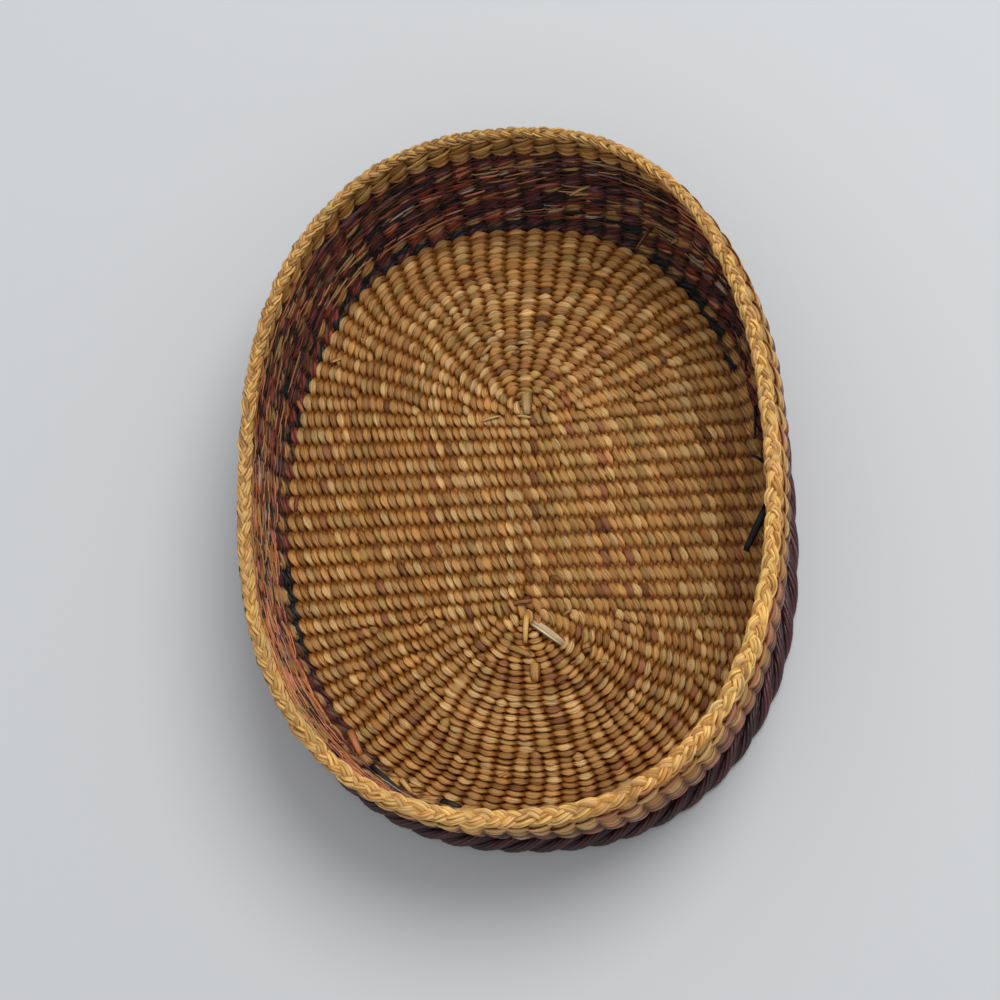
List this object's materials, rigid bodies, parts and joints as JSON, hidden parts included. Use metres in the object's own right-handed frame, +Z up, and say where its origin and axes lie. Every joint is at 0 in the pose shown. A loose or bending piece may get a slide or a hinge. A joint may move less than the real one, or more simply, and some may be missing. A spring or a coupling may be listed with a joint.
{
  "type": "oval tray basket",
  "caption": "Oval tray basket of twined grass: natural floor, wall of dyed and natural weft, plaited rim and a plum rope round the foot.",
  "frame": {"origin": "under the centre of the base, on the surface that the basket stands on", "axes": "+Z up through the open mouth, +Y along the long axis of the oval, +X across it"},
  "size_m": [0.2996, 0.3761, 0.0875],
  "materials": {
    "natural_grass": "dry golden brown grass, twined, faint sheen",
    "rim_grass": "paler golden grass, plaited, faint sheen",
    "dyed_grass": "dyed grass in streaks of plum, brick, orange and near black",
    "black_grass": "grass dyed near black, matt",
    "plum_rope": "laid grass rope dyed dark plum, slight gloss"
  },
  "bodies": {
    "root": {"cross_stake_01": "natural_grass", "cross_stake_02": "natural_grass", "cross_stake_03": "natural_grass", "cross_stake_04": "natural_grass", "cross_stake_05": "natural_grass", "cross_stake_06": "natural_grass", "cross_stake_07": "natural_grass", "cross_stake_08": "natural_grass", "cross_stake_09": "natural_grass", "cross_stake_10": "natural_grass", "cross_stake_11": "natural_grass", "cross_stake_12": "natural_grass", "cross_stake_13": "natural_grass", "front_stake_01": "natural_grass", "front_stake_02": "natural_grass", "front_stake_03": "natural_grass", "front_stake_04": "natural_grass", "front_stake_05": "natural_grass", "front_stake_06": "natural_grass", "front_stake_07": "natural_grass", "front_stake_08": "natural_grass", "front_stake_09": "natural_grass", "front_stake_10": "natural_grass", "front_stake_11": "natural_grass", "back_stake_01": "natural_grass", "back_stake_02": "natural_grass", "back_stake_03": "natural_grass", "back_stake_04": "natural_grass", "back_stake_05": "natural_grass", "back_stake_06": "natural_grass", "back_stake_07": "natural_grass", "back_stake_08": "natural_grass", "back_stake_09": "natural_grass", "back_stake_10": "natural_grass", "back_stake_11": "natural_grass", "floor_core_inner_weft": "natural_grass", "floor_middle_inner_weft": "natural_grass", "floor_edge_inner_weft": "natural_grass", "bend_inner_weft": "black_grass", "wall_inner_weft_1": "dyed_grass", "wall_inner_weft_2": "dyed_grass", "wall_inner_weft_3": "dyed_grass", "natural_inner_weft": "natural_grass", "floor_core_outer_weft": "natural_grass", "floor_middle_outer_weft": "natural_grass", "floor_edge_outer_weft": "natural_grass", "bend_outer_weft": "black_grass", "wall_outer_weft_1": "dyed_grass", "wall_outer_weft_2": "dyed_grass", "wall_outer_weft_3": "dyed_grass", "natural_outer_weft": "natural_grass", "rim_plait": "rim_grass", "foot_rope": "plum_rope"}
  },
  "joints": []
}
